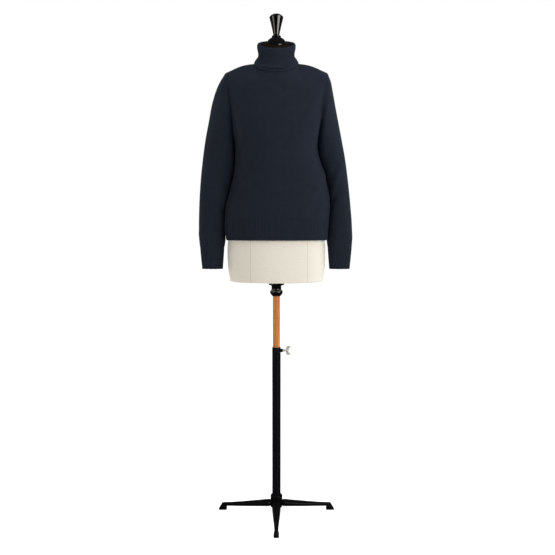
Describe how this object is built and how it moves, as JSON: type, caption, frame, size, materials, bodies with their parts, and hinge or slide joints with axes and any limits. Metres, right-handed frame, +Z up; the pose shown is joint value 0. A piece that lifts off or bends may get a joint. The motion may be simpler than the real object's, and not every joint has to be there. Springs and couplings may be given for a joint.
{
  "type": "turtleneck sweater on a limbless dress form",
  "caption": "Fine knitted turtleneck sweater with long set-in sleeves and ribbed edges, resting on a limbless linen dress form with a turned neck cap, wooden rod, clamped tube and cast star base.",
  "frame": {"origin": "on the floor, on the axis of the pole, under the middle of the base", "axes": "+Z up along the pole; -Y is the side the sweater's front faces; +X is the wearer's left"},
  "size_m": [0.5318, 0.416, 1.728],
  "materials": {
    "navy_knit": "matte",
    "cream_linen": "matte",
    "gloss_black_wood": "gloss",
    "amber_wood": "satin",
    "satin_black_steel": "satin",
    "nickel": "satin",
    "black_cast_iron": "satin"
  },
  "bodies": {
    "stand": {"hub": "black_cast_iron", "leg_left": "black_cast_iron", "leg_back": "black_cast_iron", "leg_right": "black_cast_iron", "leg_front": "black_cast_iron", "tube": "satin_black_steel", "clamp_boss": "satin_black_steel"},
    "rod": {"wood_rod": "amber_wood"},
    "torso": {"boss": "gloss_black_wood", "dress_form": "cream_linen", "neck_cap": "gloss_black_wood", "finial": "gloss_black_wood", "front": "navy_knit", "back": "navy_knit", "hem_rib_front": "navy_knit", "hem_rib_back": "navy_knit", "sleeve_right": "navy_knit", "cuff_right": "navy_knit", "sleeve_left": "navy_knit", "cuff_left": "navy_knit", "collar": "navy_knit"},
    "clamp": {"wing_screw": "nickel"}
  },
  "joints": [
    {"name": "height_slide", "type": "slide", "parent": "stand", "child": "rod", "axis": [0, 0, 1], "range_m": [-0.17, 0.12]},
    {"name": "torso_turn", "type": "hinge", "parent": "rod", "child": "torso", "pos_m": [0, 0, 0.8], "axis": [0, 0, 1], "continuous": true},
    {"name": "clamp_turn", "type": "hinge", "parent": "stand", "child": "clamp", "pos_m": [0.03, 0, 0.578], "axis": [1, 0, 0], "range_deg": [-720, 720]}
  ]
}
